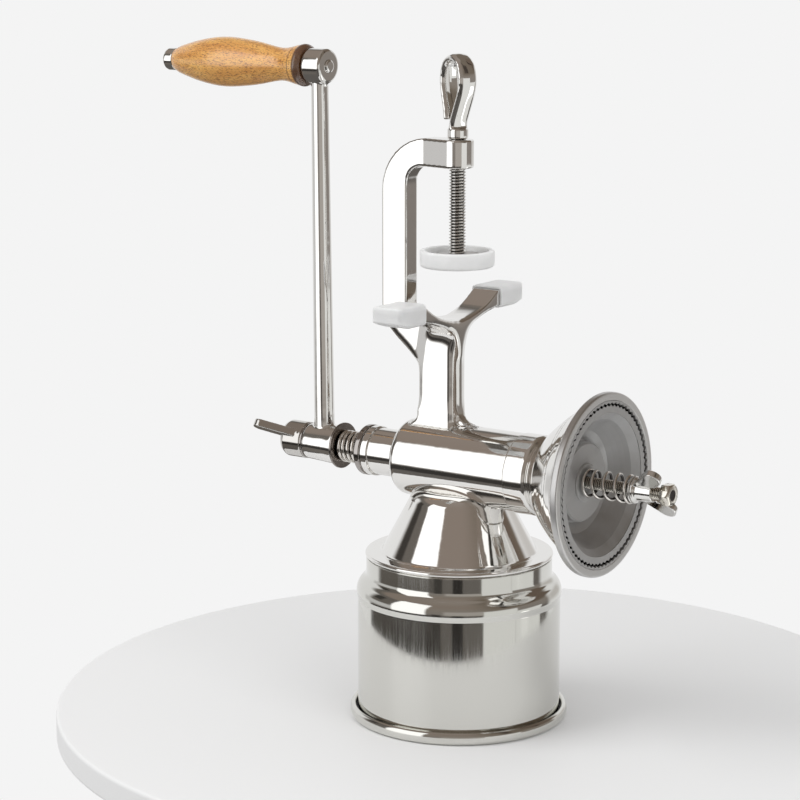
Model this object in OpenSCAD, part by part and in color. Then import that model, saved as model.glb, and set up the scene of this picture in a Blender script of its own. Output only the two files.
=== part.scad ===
// Hand crank grain mill, standing on the rolled rim of its hopper.
// X runs along the grinding shaft towards the bell, Z is up, the origin is the centre of the hopper mouth.

/* [Hopper] */
// Outside diameter of the straight hopper wall
hopper_od = 102; // [96:1:112]
// Thickness of the hopper sheet
sheet_t = 0.9; // [0.6:0.1:1.4]
// Height from the mouth to the top of the straight wall
hopper_wall_h = 61.5; // [45:0.5:75]
// How far the rolled rim stands out from the wall
rim_stand = 4; // [3:0.5:6]
// Height of the rolled rim
rim_h = 6.5; // [5:0.5:8]
// Width of the groove between the rolled rim and the wall
rim_groove = 0.5; // [0.3:0.1:0.8]
// Outside diameter of the neck
neck_od = 93.4; // [88:0.2:94]
// Height of the shoulder between wall and neck
shoulder_h = 11; // [8:0.5:14]
// How far the shoulder bulges past the wall
shoulder_bulge = 0.6; // [0.4:0.1:1.5]
// Height of the neck band
neck_h = 9.8; // [8:0.1:16]

/* [Funnel] */
// Thickness of the flange that lies on the hopper neck
flange_t = 2.4; // [1.8:0.1:4]
// How far the flange stands out from the neck
flange_stand = 0.5; // [0:0.1:2]
// Outside diameter of the cone at the flange
cone_base_od = 77; // [72:1:82]
// Outside diameter of the cone at its shoulder
cone_top_od = 52; // [50:1:58]
// How far the cone's shoulder lies below the barrel
shoulder_drop = 2.3; // [1:0.1:4]
// Rounding of the cone's shoulder
shoulder_round = 9; // [7:0.5:10]
// Wall of the cone
cone_wall = 2.5; // [2:0.1:3.5]
// Depth of the spigot inside the hopper neck
spigot_h = 8; // [5:0.5:10]
// Wall of the spigot
spigot_wall = 1.6; // [1.2:0.1:2.5]
// Radial slip clearance of the spigot
slip_gap = 0.08; // [0.05:0.01:0.1]
// Diameter of the throat into the barrel
throat_d = 25; // [20:1:27]

/* [Barrel] */
// Outside diameter of the barrel
barrel_od = 38.8; // [36:0.2:39.4]
// Wall of the barrel
barrel_wall = 4; // [3.4:0.1:4.2]
// Length of the barrel
barrel_len = 69.5; // [66:0.5:78]
// Distance from the hopper axis to the seam with the bell
barrel_front_x = 38; // [36:0.5:42]
// Thickness of the closed rear end
barrel_end_t = 5; // [4:0.5:7]
// Rounding of the rear end
barrel_round = 4; // [2:0.5:4]
// Length of the barrel lip inside the bell collar
lip_len = 9; // [6:0.5:11]
// Wall of that lip
lip_wall = 1.4; // [1.2:0.1:1.6]

/* [Bell] */
// Outside diameter of the collar
collar_od = 39.8; // [38.4:0.2:42]
// Length of the collar
collar_len = 12.5; // [11:0.5:15]
// Rounding of the collar's front edge
collar_round = 2.5; // [1:0.1:3]
// Length of the groove between the collar and the bell
collar_step = 0.7; // [0.4:0.1:2]
// Diameter where the bell starts behind the collar
bell_back_od = 36; // [35.6:0.2:38]
// Diameter of the bell where the rim starts
bell_front_od = 81; // [78:0.5:83]
// Length of the bell between these two
bell_len = 28.6; // [25:0.1:32]
// How far the bell wall bulges out from a straight cone
bell_bulge = 2.4; // [1:0.1:3]
// Wall of the bell
bell_wall = 2.6; // [2:0.1:3]
// How far the bell rim stands out from the bell's front
bell_rim_stand = 4.5; // [4:0.1:7]
// Length of the step in front of the bell wall
bell_rim_step = 0.6; // [0.4:0.1:1]
// Thickness of the bell rim
bell_rim_t = 4; // [3.5:0.1:6]

/* [Burrs] */
// Outside diameter of the fixed burr ring
burr_od = 82; // [81:0.5:84]
// Depth of the fixed burr ring
burr_ring_t = 3.6; // [3:0.1:3.8]
// Thickness of the burr liner inside the bell
liner_t = 2.2; // [1.6:0.1:2.6]
// Distance from the bell's back to the liner's back
liner_back = 12; // [10:0.5:15]
// How far the rotor face lies behind the bell face
rotor_sink = 0.5; // [0.3:0.1:1]
// Distance from the bell's back to the rotor cup's back edge
rotor_back = 9; // [7:0.5:10]
// Number of teeth on each burr
tooth_n = 72; // [48:6:72]
// Depth of the teeth
tooth_h = 1.0; // [0.6:0.1:1.3]
// Radial gap between the two burrs
grind_gap = 0.4; // [0.3:0.05:0.8]
// How far the fixed burr ring reaches inwards
burr_ring_w = 1.7; // [1.4:0.1:2]
// Thickness of the toothed rotor rim
rotor_rim_t = 2; // [1.6:0.1:2.2]
// Width of the plain band on the rotor face
rotor_band = 3.9; // [3:0.1:5]
// Wall of the rotor cup
rotor_wall = 2.6; // [2:0.1:3]
// Length of the rotor cup behind its rim
rotor_cup_l = 17; // [15:0.2:18]
// Diameter of the raised boss in the cup
boss_od = 39; // [34:0.5:40]
// Height of that boss
boss_h = 5.6; // [3:0.2:6]
// Diameter of the spring hub
spring_hub_od = 18.8; // [17:0.2:24]
// Height of the spring hub
spring_hub_h = 1; // [0.8:0.1:4]

/* [Shaft] */
// Height of the shaft axis above the hopper mouth
axis_z = 129.5; // [122:0.5:136]
// Diameter of the shaft
shaft_d = 12; // [11:0.2:12.2]
// Width across the square drives
square_w = 9; // [8:0.2:9.4]
// Diameter of the auger flight
flight_d = 28.8; // [26:0.2:29]
// Pitch of the auger flight
flight_pitch = 24; // [18:1:30]
// Radial running clearance of turning pieces
run_gap = 0.05; // [0.03:0.01:0.1]
// Clearance between pieces that lie face to face on moving parts
face_gap = 0.1; // [0.05:0.05:0.3]

/* [Bush] */
// Diameter of the bush sleeve
bush_od = 24; // [22:0.2:25]
// Length of the sleeve outside the barrel
bush_len = 17; // [12:0.5:22]
// Diameter of the bush flange
bush_flange_od = 25.6; // [25.4:0.2:30]
// Thickness of the bush flange
bush_flange_t = 4.6; // [3:0.1:6]
// Diameter of the bush spigot in the barrel end
bush_spigot_od = 19; // [17:0.5:20]
// Diameter of the thrust collar
thrust_od = 26; // [24:0.2:30]
// Thickness of the thrust collar
thrust_t = 3.7; // [3:0.1:6]

/* [Springs] */
// Wire diameter of the crank spring
crank_wire_d = 2.2; // [1.6:0.1:2.4]
// Outside diameter of the crank spring
crank_coil_od = 16.6; // [16.6:0.1:20]
// Length of the crank spring
crank_coil_l = 14.8; // [13:0.1:20]
// Turns of the crank spring
crank_turns = 5; // [4:1:6]
// Wire diameter of the burr spring
burr_wire_d = 1.7; // [1.4:0.1:2.2]
// Outside diameter of the burr spring
burr_coil_od = 14.4; // [13:0.1:18]
// Length of the burr spring
burr_coil_l = 25.8; // [20:0.1:30]
// Turns of the burr spring
burr_turns = 5; // [5:1:7]

/* [Crank] */
// Distance between the shaft axis and the grip axis
crank_throw = 193.6; // [150:0.1:230]
// Length of the crank hub
hub_len = 20; // [17:0.5:24]
// Diameter of the hub at its outer end
hub_od_out = 18.6; // [18:0.2:22]
// Diameter of the hub at the spring side
hub_od_in = 20.6; // [20:0.2:24]
// Diameter of the rod at the hub
rod_d_low = 10.8; // [9:0.2:12]
// Diameter of the rod at the grip boss
rod_d_top = 8.8; // [7:0.2:10]
// How far the rod leans outwards
rod_lean = 2; // [0:0.5:5]
// Diameter of the grip boss
grip_boss_od = 17.6; // [16:0.2:22]
// Length of the grip boss
grip_boss_l = 12; // [9:0.5:16]
// Diameter of the washer beside the spring
crank_washer_od = 23.6; // [20:0.5:28]
// Thickness of the washers
washer_t = 1.3; // [1:0.1:2]
// Diameter of the wing nut body
wing_body_od = 19; // [17:0.2:22]
// Length of the wing nut body
wing_body_l = 13.7; // [11:0.1:18]
// How far the lever of the wing nut reaches from the axis
wing_reach = 18; // [15:0.5:22]
// How far the lever reaches past the nut body
wing_sweep = 12.4; // [8:0.1:18]
// Thickness of the lever
wing_t = 4; // [3:0.2:6]
// Angle of the lever from upright
wing_angle = 58; // [0:1:90]
// Diameter of the stud that holds the crank
stud_d = 6; // [5:0.5:6]

/* [Grip] */
// Length of the wooden grip
grip_len = 86.2; // [70:0.1:110]
// Greatest diameter of the grip
grip_od = 25.6; // [24:0.2:32]
// Diameter of the grip at its neck
grip_neck_od = 16.6; // [16:0.2:22]
// Diameter of the grip at the boss end
grip_flange_od = 21.4; // [20:0.2:26]
// Diameter of the grip at its outer end
grip_end_od = 13; // [12:0.5:18]
// Diameter of the grip pin
pin_d = 5; // [4:0.2:6]
// Diameter of the pin head
pin_head_od = 11.6; // [9:0.2:13]
// Length of the pin head
pin_head_l = 6.8; // [3:0.2:8]

/* [Adjuster] */
// Diameter of the adjusting bolt
bolt_d = 6; // [5:0.5:6]
// Width across the flats of the bolt head
bolt_af = 10; // [9:0.5:13]
// Thickness of the bolt head
bolt_head_t = 5; // [3:0.5:6]
// Free bolt length between wing nut and head
bolt_free = 4.8; // [4.6:0.1:12]
// Diameter of the spring seat washer
seat_od = 13.4; // [12:0.2:18]
// Thickness of the spring seat washer
seat_t = 1; // [0.8:0.1:2]
// Length of the adjusting nut hub
nut_hub_l = 10.5; // [7:0.5:12]
// Diameter of the adjusting nut hub
nut_hub_od = 10.4; // [9:0.2:13]
// How far the nut wings reach from the axis
nut_wing_reach = 16.4; // [10:0.2:18]
// How far the nut wings lean along the bolt
nut_wing_sweep = 18; // [12:0.5:20]
// Thickness of the nut wings
nut_wing_t = 3.2; // [1.6:0.1:4]
// Angle of the nut wings from upright
nut_wing_angle = 42; // [0:1:90]

/* [Clamp frame] */
// Width of the post along the shaft
post_w = 22; // [18:0.5:26]
// Distance of the post's front face from the hopper axis
post_front_x = 0.5; // [-3:0.5:3]
// Thickness of the post across the shaft
post_t = 14; // [12:0.5:18]
// Rounding of the post's front edges
post_edge_r = 4.6; // [2:0.2:5.6]
// Height of the saddle tops above the mouth
saddle_z = 212.8; // [204:0.2:220]
// Thickness of the saddle arms at the pads
saddle_t = 7.8; // [7:0.2:10]
// Half the span over the saddle pads
saddle_reach = 54.5; // [48:0.5:62]
// Width of the saddle arms along the shaft
saddle_w = 15.3; // [13:0.1:17]
// Depth of the hollow between the saddle arms
saddle_dip = 10.8; // [8:0.2:14]
// Thickness of the bow
bow_t = 10.2; // [9:0.2:12]
// Width of the upright of the bow
bow_w = 14.9; // [12:0.1:18]
// Distance of the bow's outer face from the hopper axis
bow_back_x = 44.3; // [42:0.1:52]
// Height of the bow's top above the mouth
bow_top_z = 290.8; // [284:0.2:300]
// Height of the bow's arm
arm_h = 14; // [11:0.5:18]
// Outer corner radius of the bow
bow_round = 27; // [14:1:30]
// Inner corner radius of the bow
bow_fillet = 9; // [5:0.5:12]

/* [Clamp screw] */
// Distance of the screw axis behind the hopper axis
screw_x = -2; // [-6:0.5:2]
// Diameter of the clamp screw
screw_d = 8.4; // [7:0.1:10]
// Diameter of the screw boss
screw_boss_od = 16; // [14:0.2:22]
// Gap between the saddle pads and the clamp pad when closed
jaw_gap = 14; // [8:0.5:20]
// Travel of the clamp pad
jaw_travel = 36; // [20:1:38]
// Diameter of the pad cup
cup_od = 36.8; // [30:0.2:42]
// Height of the pad cup
cup_h = 8.2; // [7.4:0.1:12]
// Wall of the pad cup
cup_wall = 2.6; // [2:0.1:4]
// Depth of the cup above its floor
cup_depth = 4.6; // [3:0.2:6]
// Diameter of the pad disc
disc_od = 31; // [22:0.2:31.8]
// Thickness of the pad disc
disc_t = 2; // [1.5:0.1:3]
// Height of the dome on the pad disc
disc_dome = 1.2; // [0.6:0.1:2]
// Height of the loop handle
loop_h = 41.4; // [30:0.2:46]
// Outside width of the loop
loop_w = 21.4; // [15:0.2:24]
// Width of the flattened strip of the loop
strip_w = 10.4; // [7:0.2:11]
// Thickness of that strip
strip_t = 4.2; // [2.4:0.1:5]
// Wall of the saddle pads
pad_wall = 1.5; // [1:0.1:2.5]
// Rounding of the outer corners of the pads
pad_round = 3.4; // [1.6:0.2:3.6]
// Length of the saddle pads along the arms
pad_len = 21.5; // [16:0.5:26]
// How far the underside of an arm rises towards its end
arm_rise = 3.2; // [1:0.2:5]
// Length of that rise
arm_taper = 9; // [6:0.5:14]

/* [Hidden] */

fine = 96;
mid = 48;
touch = 0.02;
seat_gap = 0.3;

// Stations along the height
shoulder_z = hopper_wall_h;
neck_z = shoulder_z + shoulder_h;
hopper_top_z = neck_z + neck_h;
flange_z = hopper_top_z + seat_gap;
cone_z = flange_z + flange_t;
barrel_r = barrel_od / 2;
bore_r = barrel_r - barrel_wall;
cone_top_z = axis_z - barrel_r - shoulder_drop;

// Stations along the shaft
barrel_back_x = barrel_front_x - barrel_len;
bush_face_x = barrel_back_x - bush_len;
thrust_x = bush_face_x - bush_flange_t - face_gap;
spring_x = thrust_x - thrust_t;
washer_x = spring_x - crank_coil_l;
hub_x = washer_x - washer_t;
hub_out_x = hub_x - hub_len;
nut_x = hub_out_x - washer_t * 0.8;
collar_end_x = barrel_front_x + collar_len;
bell_x = collar_end_x + collar_step;
bell_end_x = bell_x + bell_len;
rim_x = bell_end_x + bell_rim_step;
face_x = rim_x + bell_rim_t;
ring_x = face_x - burr_ring_t;
rotor_face_x = face_x - rotor_sink;
rotor_rim_x = rotor_face_x - rotor_rim_t;
cup_x = rotor_rim_x - rotor_cup_l;
cup_floor_x = cup_x + rotor_wall;
boss_x = cup_floor_x + boss_h;
spring_hub_x = boss_x + spring_hub_h;
seat_x = spring_hub_x + burr_coil_l;
adjust_x = seat_x + seat_t;
head_x = adjust_x + nut_hub_l + bolt_free;
ring_r = burr_od / 2 - burr_ring_w;
rotor_r = ring_r - grind_gap;
rotor_mouth_r = rotor_r - rotor_band;
rotor_lip_r = rotor_mouth_r + 1.2;

// Stations of the clamp
post_back_x = post_front_x - post_w;
saddle_x = post_front_x + 0.8 - saddle_w / 2;
pad_top_z = saddle_z + pad_wall;
cup_z = pad_top_z + jaw_gap;
disc_z = cup_z + cup_h - cup_depth;
arm_z = bow_top_z - arm_h;
bow_inner_x = -bow_back_x + bow_w;
loop_z = bow_top_z + seat_gap;

// Stations of the crank
grip_x = hub_x - hub_len * 0.56 - rod_lean;
grip_boss_in = grip_x + grip_boss_l / 2;
grip_boss_out = grip_x - grip_boss_l / 2;
grip_axis_z = axis_z + crank_throw;
grip_right_x = grip_boss_out - seat_gap;
grip_left_x = grip_right_x - grip_len;

function arc(c, r, a0, a1, n = 8) =
    [for (i = [0:n]) let (a = a0 + (a1 - a0) * i / n) [c[0] + r * cos(a), c[1] + r * sin(a)]];

function oval(c, rx, ry, a0, a1, n = 8) =
    [for (i = [0:n]) let (a = a0 + (a1 - a0) * i / n) [c[0] + rx * cos(a), c[1] + ry * sin(a)]];

function reversed(p) = [for (i = [len(p) - 1:-1:0]) p[i]];

// Smooth curve through a list of points
function blend(p, i, t) =
    let (a = p[max(i - 1, 0)], b = p[i], c = p[i + 1], d = p[min(i + 2, len(p) - 1)])
    0.5 * (2 * b + (c - a) * t + (2 * a - 5 * b + 4 * c - d) * t * t + (3 * b - a - 3 * c + d) * t * t * t);

function smooth(p, n = 5) =
    concat([for (i = [0:len(p) - 2], k = [0:n - 1]) blend(p, i, k / n)], [p[len(p) - 1]]);

// Radius of the bell's outside and its slope, x from the start of the bell
bell_slope = (bell_front_od - bell_back_od) / 2 / bell_len;

function bell_r(x) =
    bell_back_od / 2 + bell_slope * x + 4 * bell_bulge * (x / bell_len) * (1 - x / bell_len);

function bell_dr(x) = bell_slope + 4 * bell_bulge / bell_len * (1 - 2 * x / bell_len);

// The bell's outside moved inwards by a depth, square to its wall
function bell_wall_at(depth, x0, x1, n = 6) =
    [for (i = [0:n])
        let (x = x0 + (x1 - x0) * i / n, s = bell_dr(x), k = sqrt(1 + s * s))
        [bell_r(x) - depth / k, bell_x + x + depth * s / k]];

// A profile of [radius, x] points turned about the shaft axis
module turned(points) {
    translate([0, 0, axis_z]) rotate([0, 90, 0]) rotate_extrude($fn = fine) polygon(points);
}

module rod(r, x0, x1, z = axis_z) {
    translate([x0, 0, z]) rotate([0, 90, 0]) cylinder(r = r, h = x1 - x0, $fn = mid);
}

module square_bar(w, x0, x1) {
    translate([x0, -w / 2, axis_z - w / 2]) cube([x1 - x0, w, w]);
}

module flat_ring(r_out, r_in, x0, x1) {
    turned([[r_in, x0], [r_out, x0], [r_out, x1], [r_in, x1]]);
}

// Faces of a tube through n + 1 rings, the points of a ring turning right-handed about its way
function tube_faces(n, sides) = concat(
    [for (i = [0:n - 1], k = [0:sides - 1])
        let (m = (k + 1) % sides)
        [i * sides + k, (i + 1) * sides + k, (i + 1) * sides + m, i * sides + m]],
    [[for (k = [0:sides - 1]) k], [for (k = [sides - 1:-1:0]) n * sides + k]]);

// A spring about the shaft axis with closed ends
module coil(outer_d, wire_d, x0, x1, turns, steps = 16, sides = 8) {
    r = (outer_d - wire_d) / 2;
    w = wire_d / 2;
    n = turns * steps;
    span = x1 - x0 - wire_d - 0.1;
    dead = wire_d * 0.55;
    ends = steps * 0.75;
    function along(i) =
        i < ends ? dead * i / ends
        : i > n - ends ? span - dead * (n - i) / ends
        : dead + (span - 2 * dead) * (i - ends) / (n - 2 * ends);
    points = [for (i = [0:n], k = [0:sides - 1])
        let (a = 360 * i / steps, b = 360 * k / sides, q = r + w * cos(b))
        [x0 + w + 0.05 + along(i) - w * sin(b), q * cos(a), axis_z + q * sin(a)]];
    polyhedron(points = points, faces = tube_faces(n, sides), convexity = 10);
}

// A line of [radius, z] points going up, moved inwards by a depth
function inset(p, depth) =
    [for (i = [0:len(p) - 1])
        let (t = p[min(i + 1, len(p) - 1)] - p[max(i - 1, 0)], e = t / norm(t))
        [p[i][0] - e[1] * depth, p[i][1] + e[0] * depth]];

// The outside of shoulder and neck
function shoulder_line() =
    let (r = hopper_od / 2, n = neck_od / 2, step = r - n, h = shoulder_h)
    concat(
        [[r, shoulder_z - 2]],
        smooth([[r, shoulder_z], [r + shoulder_bulge, shoulder_z + h * 0.26],
                [r + shoulder_bulge * 0.3, shoulder_z + h * 0.55], [r - step * 0.28, shoulder_z + h * 0.78],
                [r - step * 0.72, shoulder_z + h * 0.93], [n + step * 0.06, shoulder_z + h * 1.06],
                [n, shoulder_z + h * 1.2]], 3),
        [[n, hopper_top_z]]);

module hopper() {
    wall_r = hopper_od / 2;
    wall_in = wall_r - sheet_t;
    rim_r = wall_r + rim_stand;
    rim_c = (wall_in + rim_r) / 2;
    top_c = (wall_r + rim_groove + rim_r) / 2;
    rim = concat(
        oval([rim_c, rim_h / 2], rim_r - rim_c, rim_h / 2, -180, 0, 14),
        oval([top_c, rim_h / 2], rim_r - top_c, rim_h / 2, 10, 160, 12),
        [[wall_r, rim_h * 0.56]]);
    line = shoulder_line();
    color("silver") rotate_extrude($fn = fine)
        polygon(concat(rim, line, reversed(inset(line, sheet_t))));
}

module feed_funnel() {
    flange_r = neck_od / 2 + flange_stand;
    spigot_r = neck_od / 2 - sheet_t - slip_gap;
    base_r = cone_base_od / 2;
    top_r = cone_top_od / 2;
    throat_r = throat_d / 2;
    crown_z = cone_top_z + shoulder_round;
    outside = concat(
        [[spigot_r - spigot_wall, flange_z - spigot_h], [spigot_r, flange_z - spigot_h], [spigot_r, flange_z]],
        arc([flange_r - flange_t / 2, flange_z + flange_t / 2], flange_t / 2, -90, 90, 6),
        arc([base_r + 1.8, cone_z + 1.8], 1.8, -90, -150, 3),
        arc([top_r - shoulder_round, cone_top_z], shoulder_round, 20, 90, 6),
        [[throat_r + 0.6, crown_z], [throat_r, crown_z]]);
    inside = concat(
        [[throat_r, cone_top_z + 3.2]],
        arc([top_r - shoulder_round, cone_top_z], shoulder_round - cone_wall, 70, 20, 4),
        [[base_r - cone_wall, cone_z], [spigot_r - spigot_wall, flange_z]]);
    color("gainsboro") difference() {
        rotate_extrude($fn = fine) polygon(concat(outside, inside));
        rod(barrel_r + touch, barrel_back_x, collar_end_x);
    }
}

module barrel() {
    round_c = [barrel_r - barrel_round, barrel_back_x + barrel_round];
    outside = concat(
        [[bush_spigot_od / 2 + touch, barrel_back_x]],
        arc(round_c, barrel_round, -90, 0, 6),
        [[barrel_r, barrel_front_x], [bore_r + lip_wall, barrel_front_x],
         [bore_r + lip_wall, barrel_front_x + lip_len], [bore_r, barrel_front_x + lip_len]]);
    inside = [[bore_r, barrel_back_x + barrel_end_t],
              [bush_spigot_od / 2 + touch, barrel_back_x + barrel_end_t]];
    color("gainsboro") difference() {
        turned(concat(outside, inside));
        translate([0, 0, axis_z - barrel_r - 4]) cylinder(d = throat_d, h = barrel_r + 4, $fn = mid);
    }
}

module grinding_bell() {
    collar_r = collar_od / 2;
    lip_r = bore_r + lip_wall + touch;
    lip_end = barrel_front_x + lip_len + face_gap;
    rim_r = bell_front_od / 2 + bell_rim_stand;
    burr_r = burr_od / 2 + touch;
    neck_in = bell_wall_at(bell_wall, 1.5, bell_len - 1, 7);
    outside = concat(
        [[lip_r, barrel_front_x], [collar_r - 0.3, barrel_front_x], [collar_r, barrel_front_x + 0.3],
         [collar_r, collar_end_x - collar_round]],
        arc([collar_r - collar_round, collar_end_x - collar_round], collar_round, 0, 78, 5),
        bell_wall_at(0, 0, bell_len, 8),
        [[rim_r - 1.4, rim_x - 0.3]],
        arc([rim_r - 1.1, rim_x + 1.1], 1.1, -60, 0, 3),
        arc([rim_r - 0.9, face_x - 0.9], 0.9, 0, 90, 3));
    inside = concat(
        [[burr_r, face_x], [burr_r, ring_x]],
        reversed(neck_in),
        [[bore_r, bell_x], [bore_r, lip_end], [lip_r, lip_end]]);
    color("gainsboro") turned(concat(outside, inside));
}

// A ring outline with triangular teeth on one side
function tooth_ring(r_tip, r_root) =
    [for (i = [0:tooth_n - 1], k = [0, 1])
        let (a = 360 * (i + k * 0.5) / tooth_n, r = k == 0 ? r_tip : r_root)
        [r * cos(a), r * sin(a)]];

module fixed_burr() {
    liner_out = bell_wall_at(bell_wall + touch, liner_back, bell_len - 1.4, 5);
    liner_in = bell_wall_at(bell_wall + liner_t, liner_back, bell_len - 1.4, 5);
    web_x = rotor_rim_x - seat_gap;
    color("silver") {
        turned(concat(
            liner_out,
            [[liner_out[len(liner_out) - 1][0], ring_x + touch], [burr_od / 2, ring_x + touch],
             [burr_od / 2, web_x], [rotor_lip_r + grind_gap, web_x]],
            reversed(liner_in)));
        translate([ring_x + touch, 0, axis_z]) rotate([0, 90, 0])
            linear_extrude(burr_ring_t - touch) difference() {
                circle(d = burr_od, $fn = fine);
                polygon(tooth_ring(ring_r, ring_r + tooth_h));
            }
    }
}

module rotor_burr() {
    depth_out = bell_wall + liner_t + 0.7;
    cone_out = bell_wall_at(depth_out, rotor_back, bell_len - 3.5, 6);
    cone_in = bell_wall_at(depth_out + rotor_wall, rotor_back, bell_len - 3.5, 6);
    back_x = cup_x - 8;
    hub_r = shaft_d / 2 + 3.5;
    outside = concat(
        [[bolt_d / 2 + 0.2, back_x], [hub_r, back_x], [hub_r, cup_x - 4], [hub_r + 4, cup_x - 1]],
        cone_out,
        [[rotor_lip_r, rotor_rim_x], [rotor_lip_r, rotor_face_x - 0.4], [rotor_mouth_r, rotor_face_x - 0.4]]);
    inside = concat(
        reversed([for (p = cone_in) if (p[1] > cup_floor_x + 2) p]),
        [[boss_od / 2 + 2.6, cup_floor_x + 1.2], [boss_od / 2 + 1, cup_floor_x],
         [boss_od / 2, cup_floor_x + 0.6], [boss_od / 2, boss_x - 0.8], [boss_od / 2 - 0.8, boss_x],
         [spring_hub_od / 2, boss_x], [spring_hub_od / 2, spring_hub_x - 0.5],
         [spring_hub_od / 2 - 0.5, spring_hub_x], [bolt_d / 2 + 0.2, spring_hub_x]]);
    color("darkgray") difference() {
        union() {
            turned(concat(outside, inside));
            translate([rotor_rim_x, 0, axis_z]) rotate([0, 90, 0])
                linear_extrude(rotor_rim_t) difference() {
                    polygon(tooth_ring(rotor_r - tooth_h, rotor_r));
                    circle(r = rotor_mouth_r, $fn = fine);
                }
        }
        square_bar(square_w + 2 * run_gap, back_x - 1, cup_floor_x + 3);
    }
}

module shaft_bush() {
    bore = shaft_d / 2 + run_gap;
    flange_r = bush_flange_od / 2;
    color("gainsboro") turned([
        [bore, thrust_x + face_gap], [flange_r - 0.6, thrust_x + face_gap],
        [flange_r, thrust_x + face_gap + 0.6], [flange_r, bush_face_x - 0.5],
        [flange_r - 0.5, bush_face_x], [bush_od / 2, bush_face_x], [bush_od / 2, barrel_back_x],
        [bush_spigot_od / 2, barrel_back_x], [bush_spigot_od / 2, barrel_back_x + barrel_end_t],
        [bore, barrel_back_x + barrel_end_t]]);
}

module auger() {
    core_r = shaft_d / 2 + 0.8;
    flight_x = barrel_back_x + barrel_end_t + 1.5;
    flight_end = collar_end_x - 5;
    flight_len = flight_end - flight_x;
    turns = flight_len / flight_pitch;
    color("silver") difference() {
        union() {
            rod(shaft_d / 2, hub_x, cup_x - 9);
            rod(core_r, flight_x - 1, flight_end + 1);
            square_bar(square_w, hub_out_x + 1, hub_x + touch);
            square_bar(square_w, cup_x - 10, cup_floor_x + 2.5);
            translate([flight_x, 0, axis_z]) rotate([0, 90, 0])
                linear_extrude(flight_len, twist = -360 * turns, slices = ceil(24 * turns))
                    translate([core_r - 1.6, -3.6]) square([flight_d / 2 - core_r + 1.6, 7.2]);
        }
        rod(bolt_d / 2 + touch, cup_x - 12, cup_floor_x + 3);
        rod(stud_d / 2 + touch, hub_out_x - 1, hub_out_x + 14);
    }
}

module thrust_collar() {
    r = thrust_od / 2;
    color("silver") turned([
        [shaft_d / 2 + run_gap, spring_x], [r - 0.7, spring_x], [r, spring_x + 0.7],
        [r, thrust_x - 0.5], [r - 0.5, thrust_x], [shaft_d / 2 + run_gap, thrust_x]]);
}

module crank_spring() {
    color("dimgray") coil(crank_coil_od, crank_wire_d, washer_x, spring_x, crank_turns);
}

module crank_washer() {
    color("gray") flat_ring(crank_washer_od / 2, shaft_d / 2 + run_gap, hub_x, washer_x);
}

module crank_arm() {
    rod_foot_x = hub_x - hub_len * 0.56;
    hub_in = hub_od_in / 2;
    hub_out = hub_od_out / 2;
    boss_r = grip_boss_od / 2;
    lean = atan(rod_lean / crank_throw);
    color("silver") difference() {
        union() {
            turned([[0, hub_out_x], [hub_out - 0.5, hub_out_x], [hub_out, hub_out_x + 0.5],
                    [hub_in, hub_x - 0.8], [hub_in - 0.8, hub_x], [0, hub_x]]);
            translate([rod_foot_x, 0, axis_z]) rotate([0, -lean, 0])
                cylinder(d1 = rod_d_low, d2 = rod_d_top, h = crank_throw, $fn = mid);
            translate([0, 0, crank_throw]) turned([
                [0, grip_boss_out], [boss_r - 1, grip_boss_out], [boss_r, grip_boss_out + 1],
                [boss_r, grip_boss_in - 1], [boss_r - 1, grip_boss_in], [0, grip_boss_in]]);
        }
        square_bar(square_w + 2 * run_gap, hub_out_x - 1, hub_x + 1);
        rod(pin_d / 2 + touch, grip_boss_out - 1, grip_boss_in + 1, grip_axis_z);
    }
}

module crank_stud() {
    end_x = nut_x - wing_body_l * 0.7;
    color("silver") rod(stud_d / 2, end_x, hub_out_x + 13);
}

module crank_lock_washer() {
    color("gray") flat_ring(wing_body_od / 2 - 0.2, stud_d / 2 + run_gap, nut_x, hub_out_x);
}

// A flat wing from the axis outwards in the plane through the shaft
module wing(angle, foot, tip, thick) {
    translate([0, 0, axis_z]) rotate([angle, 0, 0]) rotate([90, 0, 0])
        translate([0, 0, -thick / 2]) linear_extrude(thick) hull() {
            translate([foot[0], foot[1]]) circle(r = foot[2], $fn = 32);
            translate([tip[0], tip[1]]) circle(r = tip[2], $fn = 32);
        }
}

module crank_wing_nut() {
    r = wing_body_od / 2;
    back_x = nut_x - wing_body_l;
    tip_r = 3.4;
    color("silver") difference() {
        union() {
            turned([[0, back_x], [r - 2.6, back_x], [r - 1, back_x + 0.9], [r, back_x + 2.8],
                    [r, nut_x - 0.4], [r - 0.4, nut_x], [0, nut_x]]);
            wing(wing_angle, [nut_x - 4, r - 3.6, 3.6],
                 [back_x - wing_sweep + tip_r, wing_reach - tip_r, tip_r], wing_t);
        }
        rod(stud_d / 2 + run_gap, nut_x - wing_body_l * 0.75, nut_x + 1);
    }
}

module grip() {
    stations = [
        [grip_flange_od / 2 - 1.4, 0], [grip_flange_od / 2, 2.2], [grip_flange_od / 2 - 0.6, 6],
        [grip_neck_od / 2, grip_len * 0.2], [grip_od / 2 - 1.6, grip_len * 0.4], [grip_od / 2, grip_len * 0.61],
        [grip_od / 2 - 1.5, grip_len * 0.78], [grip_end_od / 2 + 1.4, grip_len * 0.94],
        [grip_end_od / 2 - 0.6, grip_len]];
    bore = pin_d / 2 + run_gap;
    outline = [for (p = smooth(stations, 4)) [p[0], grip_right_x - p[1]]];
    color("peru") translate([0, 0, crank_throw])
        turned(concat([[bore, grip_right_x]], outline, [[bore, grip_left_x]]));
}

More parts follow.
